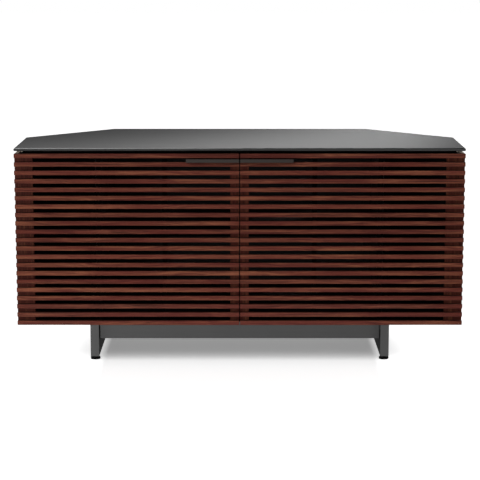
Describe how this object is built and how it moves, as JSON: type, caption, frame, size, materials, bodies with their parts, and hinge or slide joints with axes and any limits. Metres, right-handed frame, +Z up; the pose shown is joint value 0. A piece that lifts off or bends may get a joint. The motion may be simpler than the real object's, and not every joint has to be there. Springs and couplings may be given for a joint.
{
  "type": "corner tv cabinet",
  "caption": "Low corner media cabinet with two slatted walnut doors, a bevelled etched glass top, cut back corners, inside shelves and a metal sled base on levelling feet.",
  "frame": {"origin": "on the floor, in the middle of the width and of the depth with the pulls", "axes": "+Z up, the doors face -Y, +X to the right of someone facing the doors"},
  "size_m": [1.43, 0.598, 0.711],
  "materials": {
    "walnut": "red-brown stained walnut veneer, satin lacquer",
    "black_board": "black laminate",
    "etched_glass": "black glass with a fine etched surface and a polished bevel",
    "powder_coat": "dark grey powder coat, satin",
    "base_tube": "dark grey powder coat, satin",
    "steel": "zinc plated",
    "black_plastic": "fine moulded texture"
  },
  "bodies": {
    "carcass": {"glass_top": "etched_glass", "riser_board": "black_board", "top_panel": "black_board", "bottom_panel": "black_board", "left_side_panel": "walnut", "right_side_panel": "walnut", "left_diagonal_back": "black_board", "right_diagonal_back": "black_board", "back_panel": "black_board", "left_partition": "black_board", "right_partition": "black_board", "centre_shelf": "black_board", "left_shelf": "black_board", "right_shelf": "black_board", "centre_shelf_pin_front_left": "steel", "centre_shelf_pin_front_right": "steel", "centre_shelf_pin_rear_left": "steel", "centre_shelf_pin_rear_right": "steel", "left_shelf_pin_front_outer": "steel", "left_shelf_pin_rear_outer": "steel", "left_shelf_pin_front_inner": "steel", "left_shelf_pin_rear_inner": "steel", "right_shelf_pin_front_outer": "steel", "right_shelf_pin_rear_outer": "steel", "right_shelf_pin_front_inner": "steel", "right_shelf_pin_rear_inner": "steel", "left_leg_frame": "base_tube", "right_leg_frame": "base_tube", "front_beam": "powder_coat", "rear_beam": "powder_coat", "left_top_pivot_arm": "steel", "left_bottom_pivot_arm": "steel", "right_top_pivot_arm": "steel", "right_bottom_pivot_arm": "steel", "left_magnet_catch": "black_plastic", "right_magnet_catch": "black_plastic"},
    "left_door": {"left_outer_stile": "walnut", "left_meeting_stile": "walnut", "left_top_rail": "walnut", "left_bottom_rail": "walnut", "left_slats": "walnut", "left_pull": "powder_coat", "left_top_pivot_plate": "steel", "left_bottom_pivot_plate": "steel", "left_strike_plate": "steel"},
    "right_door": {"right_outer_stile": "walnut", "right_meeting_stile": "walnut", "right_top_rail": "walnut", "right_bottom_rail": "walnut", "right_slats": "walnut", "right_pull": "powder_coat", "right_top_pivot_plate": "steel", "right_bottom_pivot_plate": "steel", "right_strike_plate": "steel"},
    "left_front_foot": {"left_front_foot": "black_plastic"},
    "left_rear_foot": {"left_rear_foot": "black_plastic"},
    "right_front_foot": {"right_front_foot": "black_plastic"},
    "right_rear_foot": {"right_rear_foot": "black_plastic"}
  },
  "joints": [
    {"name": "left_door_hinge", "type": "hinge", "parent": "carcass", "child": "left_door", "pos_m": [-0.7075, -0.261, 0.416], "axis": [0, 0, -1], "range_deg": [0, 105]},
    {"name": "right_door_hinge", "type": "hinge", "parent": "carcass", "child": "right_door", "pos_m": [0.7075, -0.261, 0.416], "axis": [0, 0, 1], "range_deg": [0, 105]},
    {"name": "left_front_foot_screw", "type": "slide", "parent": "carcass", "child": "left_front_foot", "axis": [0, 0, 1], "range_m": [-0.012, 0]},
    {"name": "left_rear_foot_screw", "type": "slide", "parent": "carcass", "child": "left_rear_foot", "axis": [0, 0, 1], "range_m": [-0.012, 0]},
    {"name": "right_front_foot_screw", "type": "slide", "parent": "carcass", "child": "right_front_foot", "axis": [0, 0, 1], "range_m": [-0.012, 0]},
    {"name": "right_rear_foot_screw", "type": "slide", "parent": "carcass", "child": "right_rear_foot", "axis": [0, 0, 1], "range_m": [-0.012, 0]}
  ]
}
